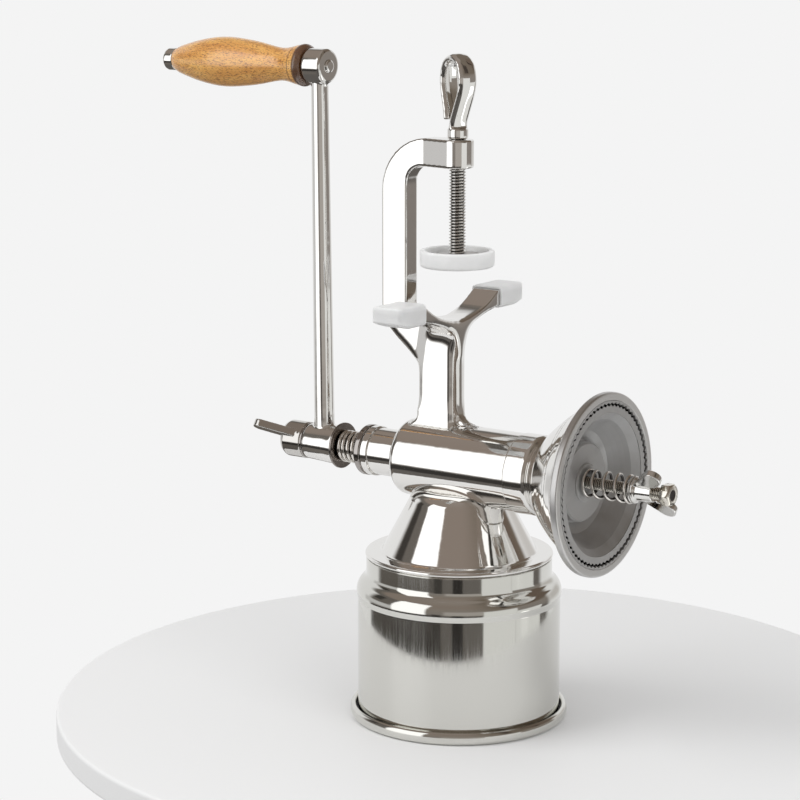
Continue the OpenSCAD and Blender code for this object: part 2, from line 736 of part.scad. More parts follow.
module grip_pin() {
    r = pin_d / 2;
    head_r = pin_head_od / 2;
    head_in = grip_left_x - face_gap;
    head_out = head_in - pin_head_l;
    rivet = 1.2;
    color("silver") translate([0, 0, crank_throw]) turned(concat(
        [[0, head_out]], arc([head_r - 2, head_out + 2], 2, -90, 0, 4),
        [[head_r, head_in], [r, head_in], [r, grip_boss_in + touch], [r + 0.9, grip_boss_in + touch]],
        arc([r - 0.3, grip_boss_in + touch], rivet, 0, 90, 4),
        [[0, grip_boss_in + rivet]]));
}

module burr_spring() {
    color("dimgray") coil(burr_coil_od, burr_wire_d, spring_hub_x, seat_x, burr_turns);
}

module spring_seat() {
    color("gray") flat_ring(seat_od / 2, bolt_d / 2 + run_gap, seat_x, adjust_x);
}

module adjust_wing_nut() {
    r = nut_hub_od / 2;
    tip_r = 4.5;
    x = adjust_x + face_gap;
    color("silver") difference() {
        union() {
            turned([[0, x], [r + 1.2, x], [r + 1.2, x + 1], [r, x + 2.2], [r - 0.6, adjust_x + nut_hub_l],
                    [0, adjust_x + nut_hub_l]]);
            for (a = [nut_wing_angle, nut_wing_angle + 180])
                wing(a, [x + 4, r - 1.4, 3.4], [x + nut_wing_sweep - tip_r, nut_wing_reach - tip_r, tip_r], nut_wing_t);
        }
        rod(bolt_d / 2 + run_gap, x - 1, x + nut_hub_l);
        rod(bolt_af / 2 / cos(30) + seat_gap, adjust_x + nut_hub_l, x + nut_wing_sweep + 1);
    }
}

module adjust_bolt() {
    color("lightgray") {
        rod(bolt_d / 2, cup_x - 11, head_x + 0.5);
        translate([head_x, 0, axis_z]) rotate([0, 90, 0])
            cylinder(d = bolt_af / cos(30), h = bolt_head_t, $fn = 6);
    }
}

// Upright and arm of the bow seen from the side, as [x, z] points
function bow_outline() =
    let (foot_z = saddle_z - 39.3, join_z = saddle_z - 11.5, x0 = post_back_x, x1 = -bow_back_x, n = 12)
    concat(
        [for (i = [0:n]) let (t = i / n, s = t * t * (3 - 2 * t))
            [x0 + (x1 - x0) * s, foot_z + (join_z - foot_z) * t]],
        arc([x1 + bow_round, bow_top_z - bow_round], bow_round, 180, 90, 8),
        [[screw_x, bow_top_z], [screw_x, arm_z]],
        arc([bow_inner_x + bow_fillet, arm_z - bow_fillet], bow_fillet, 90, 180, 6),
        arc([bow_inner_x + 5, saddle_z - saddle_dip + 5], 5, 180, 270, 4),
        [[post_front_x - 1, saddle_z - saddle_dip], [post_front_x - 1, foot_z]]);

// Foot of the post, spreading onto the barrel
function foot_outline() =
    let (foot_z = axis_z + barrel_r - 3, top_z = saddle_z - saddle_dip - 3)
    concat(
        [[post_front_x + 12, foot_z]],
        arc([post_front_x + 9, foot_z + 12], 9, -90, -180, 5),
        [[post_front_x, top_z], [post_back_x + 4, top_z], [post_back_x, saddle_z - 40]],
        arc([post_back_x - 4, foot_z + 7], 4, 0, -80, 4),
        [[post_back_x - 5, foot_z]]);

// Plan of the post with rounded front edges and a thin nose for the spreading foot
function post_plan() =
    let (w = post_t / 2, r = post_edge_r, x = post_front_x)
    concat(
        [[post_back_x - 6, -w]],
        arc([x - r, r - w], r, -90, -10, 5),
        [[x + 1.5, r - w - 0.4], [x + 13, r - w], [x + 13, w - r], [x + 1.5, w - r + 0.4]],
        arc([x - r, w - r], r, 10, 90, 5),
        [[post_back_x - 6, w]]);

// End of a saddle arm seen from the front with its rising underside, grown by a depth
function arm_end_line(y, depth) =
    let (end = saddle_reach - pad_wall - touch + depth, low = saddle_z - saddle_t - depth)
    [[y, low], [end - arm_taper, low], [end, low + arm_rise], [end, saddle_z + depth], [y, saddle_z + depth]];

// Saddle seen from the front, as [y, z] points, right half
function saddle_half() =
    let (pad_in = saddle_reach - pad_len, dip = saddle_z - saddle_dip, low = saddle_z - saddle_t)
    concat(
        [[0, dip - 19], [2, dip - 19]],
        smooth([[2, dip - 16], [4.8, dip - 12], [6.6, dip - 8.4], [10.5, dip - 4.4], [20, dip - 0.7],
                [pad_in, low]], 4),
        arm_end_line(pad_in + 1, 0),
        smooth([[pad_in - 1, saddle_z - 0.2], [pad_in - 12, saddle_z - 6.6], [8, dip + 0.9], [0, dip]], 4));

module saddle() {
    half = saddle_half();
    both = concat(half, [for (p = reversed(half)) if (p[0] > 0) [-p[0], p[1]]]);
    translate([saddle_x - saddle_w / 2, 0, 0]) rotate([90, 0, 90]) linear_extrude(saddle_w) polygon(both);
}

module plate(points, thick) {
    translate([0, thick / 2, 0]) rotate([90, 0, 0]) linear_extrude(thick) polygon(points);
}

module clamp_frame() {
    color("gainsboro") difference() {
        union() {
            plate(bow_outline(), bow_t);
            intersection() {
                plate(foot_outline(), post_t);
                translate([0, 0, axis_z]) linear_extrude(saddle_z - axis_z) polygon(post_plan());
            }
            saddle();
            translate([screw_x, 0, arm_z]) linear_extrude(arm_h) hull() {
                circle(d = screw_boss_od, $fn = mid);
                translate([-screw_boss_od, 0]) square([2, bow_t], center = true);
            }
        }
        rod(barrel_r + touch, barrel_back_x - 5, collar_end_x + 5);
        translate([screw_x, 0, arm_z - 1]) cylinder(d = screw_d + 2 * run_gap, h = arm_h + 2, $fn = mid);
    }
}

// Plan of a boot with rounded outer corners
function pad_plan(w, l) =
    concat([[-w, 0], [w, 0]], arc([w - pad_round, l - pad_round], pad_round, 0, 90, 5),
           arc([pad_round - w, l - pad_round], pad_round, 90, 180, 5));

// A boot over one saddle arm, open towards the post
module saddle_pad(side) {
    inner_y = saddle_reach - pad_len;
    w = saddle_w + 2 * pad_wall;
    h = saddle_t + 2 * pad_wall;
    color("whitesmoke") scale([1, side, 1]) difference() {
        intersection() {
            translate([saddle_x, saddle_reach, pad_top_z - h / 2]) rotate([90, 0, 0])
                linear_extrude(pad_len) offset(2.2) square([w - 4.4, h - 4.4], center = true);
            translate([saddle_x - w, 0, 0]) rotate([90, 0, 90])
                linear_extrude(2 * w) polygon(arm_end_line(inner_y - 1, pad_wall));
            translate([saddle_x, inner_y - 5, pad_top_z - h - 1]) linear_extrude(h + 2)
                polygon(pad_plan(w / 2, pad_len + 5));
        }
        translate([saddle_x - saddle_w / 2 - touch, 0, 0]) rotate([90, 0, 90])
            linear_extrude(saddle_w + 2 * touch) polygon(arm_end_line(0, touch));
    }
}

module saddle_pad_front() {
    saddle_pad(-1);
}

module saddle_pad_back() {
    saddle_pad(1);
}

module clamp_screw() {
    color("silver") translate([screw_x, 0, 0]) {
        translate([0, 0, disc_z + disc_t]) cylinder(d = screw_d, h = loop_z - disc_z - disc_t, $fn = mid);
        translate([0, 0, disc_z + touch]) cylinder(d = screw_d * 0.7, h = disc_t, $fn = mid);
    }
}

// Middle line of the bent strip as [sideways, up] points
function loop_line() =
    let (w = loop_w / 2 - strip_t / 2, h = loop_h - strip_t / 2)
    smooth([[0, 3], [0.6, 8], [w * 0.46, h * 0.38], [w * 0.9, h * 0.58], [w, h * 0.76], [w * 0.7, h * 0.93],
            [0, h], [-w * 0.7, h * 0.93], [-w, h * 0.76], [-w * 0.92, h * 0.58], [-w * 0.68, h * 0.38],
            [-strip_t * 1.15, h * 0.23]], 4);

module clamp_loop() {
    line = loop_line();
    n = len(line) - 1;
    sides = 10;
    points = [for (i = [0:n], k = [0:sides - 1])
        let (d = line[min(i + 1, n)] - line[max(i - 1, 0)], e = d / norm(d), b = 360 * k / sides,
             s = sign(cos(b)) * pow(abs(cos(b)), 0.9) * strip_t / 2,
             t = sign(sin(b)) * pow(abs(sin(b)), 0.85) * strip_w / 2)
        [line[i][0] + e[1] * s, t, line[i][1] - e[0] * s]];
    color("silver") translate([screw_x, 0, loop_z]) {
        rotate([0, 0, -25]) polyhedron(points = points, faces = tube_faces(n, sides), convexity = 8);
        cylinder(d = strip_w, h = 5, $fn = mid);
    }
}

module pad_disc() {
    r = disc_od / 2;
    pin_r = screw_d * 0.35 + run_gap;
    shank_r = screw_d / 2 + run_gap;
    color("lightgray") translate([screw_x, 0, disc_z]) rotate_extrude($fn = fine) polygon([
        [pin_r, 0], [r, 0], [r, disc_t - 0.6], [r - 0.6, disc_t], [r - 4, disc_t + disc_dome * 0.55],
        [shank_r + 4, disc_t + disc_dome], [shank_r, disc_t + disc_dome], [shank_r, disc_t], [pin_r, disc_t]]);
}

module pad_cup() {
    r = cup_od / 2;
    color("whitesmoke") translate([screw_x, 0, cup_z]) rotate_extrude($fn = fine) polygon(concat(
        [[0, 0]], arc([r - 1.4, 1.4], 1.4, -90, 0, 4), arc([r - 0.8, cup_h - 0.8], 0.8, 0, 90, 3),
        [[r - cup_wall, cup_h], [r - cup_wall, cup_h - cup_depth], [0, cup_h - cup_depth]]));
}

hopper();
feed_funnel();
barrel();
grinding_bell();
fixed_burr();
clamp_frame();
saddle_pad_front();
saddle_pad_back();
shaft_bush();
auger();
thrust_collar();
crank_spring();
crank_washer();
crank_arm();
crank_stud();
crank_lock_washer();
crank_wing_nut();
grip();
grip_pin();
rotor_burr();
burr_spring();
spring_seat();
adjust_wing_nut();
adjust_bolt();
clamp_screw();
clamp_loop();
pad_disc();
pad_cup();
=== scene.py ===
import math

import bmesh
import bpy
from mathutils import Matrix, Vector


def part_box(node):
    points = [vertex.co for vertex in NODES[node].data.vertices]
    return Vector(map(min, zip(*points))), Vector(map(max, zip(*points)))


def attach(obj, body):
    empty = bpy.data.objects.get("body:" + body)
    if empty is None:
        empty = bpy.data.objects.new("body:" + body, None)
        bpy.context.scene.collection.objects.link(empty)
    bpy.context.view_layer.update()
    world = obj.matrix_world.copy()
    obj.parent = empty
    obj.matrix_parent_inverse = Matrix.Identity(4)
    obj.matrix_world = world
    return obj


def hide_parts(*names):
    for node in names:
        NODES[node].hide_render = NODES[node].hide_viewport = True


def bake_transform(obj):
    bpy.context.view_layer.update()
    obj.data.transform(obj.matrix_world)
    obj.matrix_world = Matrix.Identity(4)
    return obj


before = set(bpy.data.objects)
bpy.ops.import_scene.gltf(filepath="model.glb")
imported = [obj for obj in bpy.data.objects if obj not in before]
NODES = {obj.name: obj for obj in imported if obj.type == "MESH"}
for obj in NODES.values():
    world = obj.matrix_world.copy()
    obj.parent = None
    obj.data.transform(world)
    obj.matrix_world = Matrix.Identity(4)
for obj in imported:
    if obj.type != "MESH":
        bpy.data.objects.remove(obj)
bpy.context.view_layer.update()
SCENE = bpy.context.scene
MM = 0.001

# Places read from the frame
AXIS_Z = sum(corner.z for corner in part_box("barrel")) / 2
GRIP_Z = sum(corner.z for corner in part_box("grip")) / 2
SCREW_X = sum(corner.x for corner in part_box("pad_cup")) / 2
BARREL_R = (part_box("barrel")[1].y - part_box("barrel")[0].y) / 2
BELL_FACE_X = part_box("grinding_bell")[1].x

# The burr teeth: inner radius and width of their ring, and the depth from which shade is painted black
# between them
TEETH_R = 37.5 * MM
TEETH_W = 2.5 * MM
TEETH_DEEP = 0.75 * MM

# Painted shade in the crevice above the hopper's rolled rim: its heights and radii, fading in and out
CREVICE_Z = (3.2 * MM, 3.8 * MM, 4.6 * MM, 5.6 * MM)
CREVICE_R = (50.6 * MM, 50.8 * MM, 51.7 * MM, 52.1 * MM)

# The bell's rim, from its face: ground to satin from here, with a brighter edge
RIM_DEPTH = 3.0 * MM
RIM_EDGE = 0.15 * MM

# The grip's dark end and the groove beside it, where shade is painted dark, from its end
DARK_END = (3.2 * MM, 4.6 * MM)
GRIP_GROOVE = (6.6 * MM, 7.0 * MM, 7.2 * MM, 7.6 * MM)

# Colours
STEEL = (0.85, 0.84, 0.82)
RIM_STEEL = (0.60, 0.595, 0.59)
SPUN_STEEL = (0.70, 0.695, 0.66)
BURR_STEEL = (0.60, 0.60, 0.60)
SATIN_STEEL = (0.50, 0.495, 0.49)
# Painted shade of the seam at the crank washer
WASHER_SHADE_STEEL = (0.30, 0.27, 0.25)
FROSTED_STEEL = (0.78, 0.78, 0.78)
# Painted shade of the seams at the thrust collar and the crank's lock washer
SEAM_SHADE_STEEL = (0.40, 0.375, 0.36)
GREY_STEEL = (0.62, 0.605, 0.58)
WIRE_STEEL = (0.80, 0.77, 0.73)
THREAD_STEEL = (0.84, 0.83, 0.81)
BOLT_STEEL = (0.78, 0.75, 0.68)
# Painted shade in the crevice above the hopper's rim
CREVICE_SHADE = (0.02, 0.02, 0.02)
# Painted shade between the burr teeth
TEETH_SHADE = (0.012, 0.011, 0.01)
PORE = (0.20, 0.062, 0.012)
# The grip's own dark end, and painted shade in the groove beside it
DARK_END_AND_GROOVE_SHADE = (0.055, 0.014, 0.005)

# Corners around a turned shape, and the metric threads of the clamp screw and the adjusting bolt
ROUND = 160
CLAMP_PITCH = 1.5 * MM
CLAMP_THREAD = 0.95 * MM
BOLT_R = 3 * MM
BOLT_PITCH = 1.0 * MM
BOLT_THREAD = 0.55 * MM
BOLT_HEAD = 5 * MM

# What the steel mirrors: turns from the camera's direction and rises in degrees, soft edge, colour
PANELS = [
    ((118, 150), (-9, 14), 7.0, (0.60, 0.58, 0.56)),
    ((-128, -82), (-11, 2), 3.0, (0.62, 0.615, 0.61)),
    ((-82, -39), (-13, 46), 2.0, (1.45, 1.45, 1.45)),
    ((-18, 30), (-11, 8), 3.0, (0.42, 0.39, 0.36)),
    ((-120, -30), (-26, -16), 1.5, (0.04, 0.037, 0.034)),
    ((26, 66), (-60, 6), 1.0, (0.80, 0.80, 0.78)),
    ((66, 103), (-60, -7), 1.0, (0.80, 0.80, 0.78)),
    ((74, 84), (-60, -18), 2.0, (2.2, 2.2, 2.2)),
    ((-9, 3), (-40, -12), 1.5, (0.03, 0.027, 0.025)),
    ((-32, -22), (-60, -8), 1.5, (0.06, 0.055, 0.05)),
    ((49, 58), (20, 62), 2.5, (0.06, 0.048, 0.04)),
    ((-114, -100), (14, 30), 3.0, (0.05, 0.045, 0.04)),
    ((84, 134), (18, 58), 3.0, (0.15, 0.115, 0.09)),
    ((92, 97), (22, 58), 1.5, (0.02, 0.016, 0.014)),
]

# The photograph's camera
CAMERA_AT = Vector((0.6873, -1.0207, 0.4058))
CAMERA_YAW = 125.34
CAMERA_DOWN = 11.23
CAMERA_LENS = 113.7


def along_x(z):
    """Places a turned shape's own Z axis along X at height z."""
    return Matrix.Translation((0, 0, z)) @ Matrix.Rotation(math.radians(90), 4, "Y")


SHAFT = along_x(AXIS_Z)
GRIP_AXIS = along_x(GRIP_Z)
UPRIGHT = Matrix.Identity(4)
SCREW_AXIS = Matrix.Translation((SCREW_X, 0, 0))


# Node trees

def add(tree, kind, inputs=None, **settings):
    """A new shader node with some settings and socket values; a socket given as an output is linked."""
    node = tree.nodes.new(kind)
    for key, value in settings.items():
        setattr(node, key, value)
    for key, value in (inputs or {}).items():
        if isinstance(value, bpy.types.NodeSocket):
            tree.links.new(value, node.inputs[key])
        else:
            node.inputs[key].default_value = value
    return node


def maths(tree, operation, *values):
    """Output of a Math node over values or other outputs."""
    return add(tree, "ShaderNodeMath", dict(enumerate(values)), operation=operation).outputs[0]


def remap(tree, value, low, high, to_low=0.0, to_high=1.0, smooth=True):
    """Output of a Map Range node."""
    kind = "SMOOTHSTEP" if smooth else "LINEAR"
    inputs = {"Value": value, "From Min": low, "From Max": high, "To Min": to_low, "To Max": to_high}
    return add(tree, "ShaderNodeMapRange", inputs, interpolation_type=kind).outputs[0]


def between(tree, value, marks):
    """One between the two middle marks of four, falling to zero at the outer ones."""
    return maths(tree, "MULTIPLY", remap(tree, value, marks[0], marks[1]),
                 remap(tree, value, marks[2], marks[3], 1.0, 0.0))


def softly(ends, soft):
    """The four marks of a range with edges that are soft to both sides."""
    return ends[0] - soft, ends[0] + soft, ends[1] - soft, ends[1] + soft


def mixed(tree, share, first, second):
    """Mix of two colours, each a colour or an output."""
    colours = {key: (*value, 1) if isinstance(value, tuple) else value
               for key, value in ((6, first), (7, second))}
    return add(tree, "ShaderNodeMix", {0: share, **colours}, data_type="RGBA").outputs[2]


def object_place(tree):
    """The X, Y and Z outputs of the place on the object."""
    where = add(tree, "ShaderNodeTexCoord").outputs["Object"]
    return add(tree, "ShaderNodeSeparateXYZ", {"Vector": where}).outputs


def distance(tree, one, two):
    """Length of two legs at a right angle."""
    squares = [maths(tree, "POWER", leg, 2.0) for leg in (one, two)]
    return maths(tree, "SQRT", maths(tree, "ADD", *squares))


def about(tree, across, centre):
    """Distance from an axis: the shaft's where across is 2, or an upright one where it is 0."""
    at = object_place(tree)
    return distance(tree, maths(tree, "SUBTRACT", at[across], centre), at[1])


def stretched(tree, scale):
    """Object coordinates scaled by a different amount along each axis."""
    where = add(tree, "ShaderNodeTexCoord").outputs["Object"]
    return add(tree, "ShaderNodeMapping", {"Vector": where, "Scale": scale}).outputs[0]


def noise(tree, where, scale, detail=2.0, rough=0.5, distortion=0.0):
    """Value of a Noise texture."""
    inputs = {"Vector": where, "Scale": scale, "Detail": detail, "Roughness": rough,
              "Distortion": distortion}
    return add(tree, "ShaderNodeTexNoise", inputs).outputs[0]


def ramp(tree, value, *stops):
    """Colour of a Color Ramp through (position, colour) stops."""
    node = add(tree, "ShaderNodeValToRGB", {"Fac": value})
    while len(node.color_ramp.elements) < len(stops):
        node.color_ramp.elements.new(0.5)
    for element, (position, colour) in zip(node.color_ramp.elements, stops):
        element.position = position
        element.color = (*colour, 1)
    return node.outputs[0]


def bump(tree, height, distance, strength=1.0, before=None):
    """Normal from a Bump node, on top of another normal where one is given."""
    inputs = {"Height": height, "Distance": distance, "Strength": strength}
    if before is not None:
        inputs["Normal"] = before
    return add(tree, "ShaderNodeBump", inputs).outputs[0]


def surface(name, **sockets):
    """A new Principled material; returns it with its tree and shader."""
    made = bpy.data.materials.new(name)
    made.use_nodes = True
    tree = made.node_tree
    shader = tree.nodes["Principled BSDF"]
    for key, value in sockets.items():
        socket = shader.inputs[key.replace("_", " ")]
        socket.default_value = (*value, 1) if socket.type == "RGBA" else value
    return made, tree, shader


def connect(tree, output, shader, socket):
    tree.links.new(output, shader.inputs[socket])


# Materials

def polished_steel(name, waviness, shade=STEEL):
    """Mirror polished stainless: the surface is a little wavy and has hairline marks."""
    made, tree, shader = surface(name, Base_Color=shade, Metallic=1.0)
    wide = noise(tree, stretched(tree, (1, 1, 1)), 85, 2.0)
    hair = noise(tree, stretched(tree, (260, 2600, 900)), 1, 3.0, 0.7)
    connect(tree, remap(tree, hair, 0.35, 0.75, 0.035, 0.10), shader, "Roughness")
    hollow = bump(tree, wide, waviness * MM)
    connect(tree, bump(tree, hair, 0.004 * MM, 0.25, hollow), shader, "Normal")
    return made


def bell_steel():
    """Polished like the other castings, but its rim is ground to a satin grey."""
    made = polished_steel("bell_steel", 0.08)
    tree = made.node_tree
    shader = tree.nodes["Principled BSDF"]
    along = object_place(tree)[0]
    rim = remap(tree, along, BELL_FACE_X - RIM_DEPTH - 0.6 * MM, BELL_FACE_X - RIM_DEPTH)
    edge = remap(tree, along, BELL_FACE_X - RIM_EDGE - 0.2 * MM, BELL_FACE_X - RIM_EDGE)
    cloud = noise(tree, stretched(tree, (1, 1, 1)), 2600, 3.0)
    ground = remap(tree, cloud, 0.3, 0.7, 0.34, 0.40)
    polish = shader.inputs["Roughness"].links[0].from_socket
    rough = add(tree, "ShaderNodeMix", {0: rim, 2: polish, 3: ground}, data_type="FLOAT").outputs[0]
    connect(tree, rough, shader, "Roughness")
    grey = maths(tree, "SUBTRACT", rim, maths(tree, "MULTIPLY", edge, 0.35))
    connect(tree, mixed(tree, grey, STEEL, RIM_STEEL), shader, "Base Color")
    return made


def spun_steel():
    """Spun stainless sheet, which smears what it mirrors upwards and downwards; shade is painted black
    in the crevice above its rim.
    """
    made, tree, shader = surface(
        "spun_steel", Metallic=1.0, Anisotropic=0.55, Anisotropic_Rotation=0.25)
    around = add(tree, "ShaderNodeTangent", direction_type="RADIAL", axis="Z").outputs[0]
    connect(tree, around, shader, "Tangent")
    at = object_place(tree)
    turn = maths(tree, "ARCTAN2", at[1], at[0])
    where = add(tree, "ShaderNodeCombineXYZ", {0: maths(tree, "MULTIPLY", turn, 120.0),
                                               1: maths(tree, "MULTIPLY", at[2], 30.0)}).outputs[0]
    lines = noise(tree, where, 1.0, 4.0, 0.65)
    connect(tree, remap(tree, lines, 0.3, 0.75, 0.05, 0.12), shader, "Roughness")
    connect(tree, bump(tree, lines, 0.006 * MM, 0.5), shader, "Normal")
    radius = distance(tree, at[0], at[1])
    # Painted shade: black in the crevice above the rolled rim
    crevice_shade = maths(tree, "MULTIPLY", between(tree, at[2], CREVICE_Z), between(tree, radius, CREVICE_R))
    connect(tree, mixed(tree, crevice_shade, SPUN_STEEL, CREVICE_SHADE), shader, "Base Color")
    return made


def shaded_steel(name, across, centre, low, high, shade):
    """Steel with shade painted dark below a radius, as in the roots of a thread or inside a coil."""
    made, tree, shader = surface(name, Metallic=1.0, Roughness=0.14)
    # Painted shade: dark below the radius
    deep_shade = remap(tree, about(tree, across, centre), low, high, 1.0, 0.0)
    connect(tree, mixed(tree, deep_shade, shade, (0.06, 0.054, 0.051)), shader, "Base Color")
    cloud = noise(tree, stretched(tree, (1, 1, 1)), 900, 3.0)
    connect(tree, remap(tree, cloud, 0.3, 0.7, 0.09, 0.2), shader, "Roughness")
    return made


def satin_steel(name, shade, roughness):
    """Grey turned or cast steel with fine rings about the shaft."""
    made, tree, shader = surface(name, Metallic=1.0)
    inputs = {0: maths(tree, "MULTIPLY", about(tree, 2, AXIS_Z), 2600.0),
              1: maths(tree, "MULTIPLY", object_place(tree)[0], 900.0)}
    where = add(tree, "ShaderNodeCombineXYZ", inputs).outputs[0]
    rings = noise(tree, where, 1.0, 3.0, 0.6)
    cloud = noise(tree, stretched(tree, (1, 1, 1)), 140, 4.0)
    darker, lighter = (tuple(share * v for v in shade) for share in (0.88, 1.08))
    connect(tree, ramp(tree, cloud, (0.3, darker), (0.7, lighter)), shader, "Base Color")
    connect(tree, remap(tree, cloud, 0.3, 0.7, roughness * 0.85, roughness * 1.15), shader, "Roughness")
    connect(tree, bump(tree, rings, 0.01 * MM, 0.6), shader, "Normal")
    return made


def burr_steel():
    """Dull grey burr steel, with black shade painted between the teeth."""
    made = satin_steel("ground_steel", BURR_STEEL, 0.72)
    tree = made.node_tree
    shader = tree.nodes["Principled BSDF"]
    outer = TEETH_R + TEETH_W
    ring = between(tree, about(tree, 2, AXIS_Z),
                   (TEETH_R - 0.2 * MM, TEETH_R, outer - 0.1 * MM, outer + 0.1 * MM))
    root = BELL_FACE_X - TEETH_DEEP
    deep_shade = remap(tree, object_place(tree)[0], root - 0.3 * MM, root, 1.0, 0.0)
    plain = shader.inputs["Base Color"].links[0].from_socket
    # Painted shade: black below the given depth within the teeth's ring
    tone = mixed(tree, maths(tree, "MULTIPLY", ring, deep_shade), plain, TEETH_SHADE)
    connect(tree, tone, shader, "Base Color")
    return made


def silicone():
    """Soft translucent white silicone with a slight bloom."""
    made, tree, shader = surface(
        "silicone", Roughness=0.4, IOR=1.41, Subsurface_Weight=0.8,
        Subsurface_Radius=(1.0, 1.0, 1.0), Subsurface_Scale=0.004, Transmission_Weight=0.08,
        Coat_Weight=0.15, Coat_Roughness=0.3)
    cloud = noise(tree, stretched(tree, (1, 1, 1)), 130, 3.0)
    tone = ramp(tree, cloud, (0.3, (0.86, 0.865, 0.86)), (0.7, (0.93, 0.93, 0.925)))
    connect(tree, tone, shader, "Base Color")
    connect(tree, remap(tree, cloud, 0.3, 0.7, 0.32, 0.46), shader, "Roughness")
    fine = noise(tree, stretched(tree, (1, 1, 1)), 1500, 2.0)
    connect(tree, bump(tree, fine, 0.012 * MM, 0.5), shader, "Normal")
    return made


def varnished_wood():
    """Honey coloured hardwood under clear varnish, its grain along the grip; its end is dark, and shade
    is painted in the groove beside it.
    """
    made, tree, shader = surface(
        "varnished_wood", Coat_Weight=1.0, Coat_Roughness=0.27, Coat_IOR=2.0)
    broad = noise(tree, stretched(tree, (14, 75, 75)), 1.0, 4.0, 0.55, 1.2)
    figure = noise(tree, stretched(tree, (45, 520, 520)), 1.0, 4.0, 0.6, 0.5)
    blend = maths(tree, "ADD", maths(tree, "MULTIPLY", broad, 0.62),
                  maths(tree, "MULTIPLY", figure, 0.38))
    grain = ramp(tree, blend, (0.30, (0.50, 0.175, 0.028)), (0.45, (0.74, 0.34, 0.065)),
                 (0.57, (0.88, 0.46, 0.105)), (0.72, (0.98, 0.66, 0.23)))
    pores = noise(tree, stretched(tree, (620, 2100, 2100)), 1.0, 3.0, 0.65)
    pore = remap(tree, pores, 0.49, 0.62)
    flecked = mixed(tree, maths(tree, "MULTIPLY", pore, 0.8), grain, PORE)
    along = maths(tree, "SUBTRACT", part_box("grip")[1].x, object_place(tree)[0])
    rim = remap(tree, along, DARK_END[0], DARK_END[1], 1.0, 0.0)
    # Painted shade: a dark line in the groove beside the dark end
    groove_shade = maths(tree, "MULTIPLY", between(tree, along, GRIP_GROOVE), 0.8)
    dark = maths(tree, "MULTIPLY", maths(tree, "MAXIMUM", rim, groove_shade), 0.93)
    with_end_and_groove_shade = mixed(tree, dark, flecked, DARK_END_AND_GROOVE_SHADE)
    connect(tree, with_end_and_groove_shade, shader, "Base Color")
    connect(tree, remap(tree, figure, 0.3, 0.7, 0.34, 0.5), shader, "Roughness")
    connect(tree, bump(tree, pore, 0.03 * MM, -0.6), shader, "Normal")
    return made


# Outlines and meshes

def piece(mesh, name, body, slot_name, material, *replaced):
    """Puts a finished mesh into the scene, on its body, in place of the CAD nodes named."""
    made = bpy.data.objects.new(name, mesh)
    SCENE.collection.objects.link(made)
    mesh.materials.clear()
    mesh.materials.append(material)
    for face in mesh.polygons:
        face.use_smooth = True
    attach(made, body)
    if replaced:
        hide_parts(*replaced)
    return made


def bezier(a, b, c, steps):
    """Points of a quadratic curve from a to c with its handle at b."""
    shares = (i / steps for i in range(steps + 1))
    return [a * (1 - t) ** 2 + b * 2 * t * (1 - t) + c * t * t for t in shares]


def rounded(points, closed, edge, sharp=math.radians(26), support=0.35 * MM):
    """An outline with its sharp corners rounded by a radius and its shallow corners smoothed."""
    result = []
    count = len(points)
    for i, here in enumerate(points):
        if not closed and i in (0, count - 1):
            result.append(here)
            continue
        before, after = here - points[i - 1], points[(i + 1) % count] - here
        turn = before.angle(after, 0)
        if turn < math.radians(1):
            result.append(here)
            continue
        reach = 0.5 * min(before.length, after.length)
        if turn > sharp:
            reach = min(edge * math.tan(turn / 2), reach * 0.8)
        start, end = here - before.normalized() * reach, here + after.normalized() * reach
        if before.length > 6 * support:
            result.append(start - before.normalized() * support)
        result += bezier(start, here, end, max(2, math.ceil(math.degrees(turn) / 8)))
        if after.length > 6 * support:
            result.append(end + after.normalized() * support)
    return result


def profile_of(node, place, angle):
    """A turned node's outlines at an angle about its axis, as (radius, along) vectors."""
    cut = bmesh.new()
    cut.from_mesh(NODES[node].data)
    bmesh.ops.transform(cut, matrix=place.inverted(), verts=cut.verts)
    bmesh.ops.rotate(cut, matrix=Matrix.Rotation(-angle, 3, "Z"), verts=cut.verts)
    bmesh.ops.remove_doubles(cut, verts=cut.verts, dist=1e-6)
    everything = cut.verts[:] + cut.edges[:] + cut.faces[:]
    middle = {"dist": 1e-7, "plane_co": (0, 0, 0)}
    bmesh.ops.bisect_plane(cut, geom=everything, plane_no=(1, 0, 0), clear_inner=True, **middle)
    everything = cut.verts[:] + cut.edges[:] + cut.faces[:]
    done = bmesh.ops.bisect_plane(cut, geom=everything, plane_no=(0, 1, 0), **middle)
    edges = dict.fromkeys(e for e in done["geom_cut"] if isinstance(e, bmesh.types.BMEdge))
    outlines = []
    while edges:
        ends = [v for e in edges for v in e.verts if sum(x in edges for x in v.link_edges) == 1]
        vertex = ends[0] if ends else next(iter(edges)).verts[0]
        line, closed = [vertex], not ends
        while True:
            step = [e for e in vertex.link_edges if e in edges]
            if not step:
                break
            edges.pop(step[0])
            vertex = step[0].other_vert(vertex)
            line.append(vertex)
        if closed:
            line.pop()
        if len(line) > 2:
            points = [Vector((v.co.x, v.co.z)) for v in line]
            outlines.append((straightened(points, closed), closed))
    cut.free()
    return outlines


def straightened(points, closed, tolerance=math.radians(0.6)):
    """An outline without the points that lie along a straight stretch."""
    kept = []
    for i, here in enumerate(points):
        if not closed and i in (0, len(points) - 1):
            kept.append(here)
            continue
        before, after = here - points[i - 1], points[(i + 1) % len(points)] - here
        if before.length > 1e-6 and before.angle(after, 0) > tolerance:
            kept.append(here)
    return kept


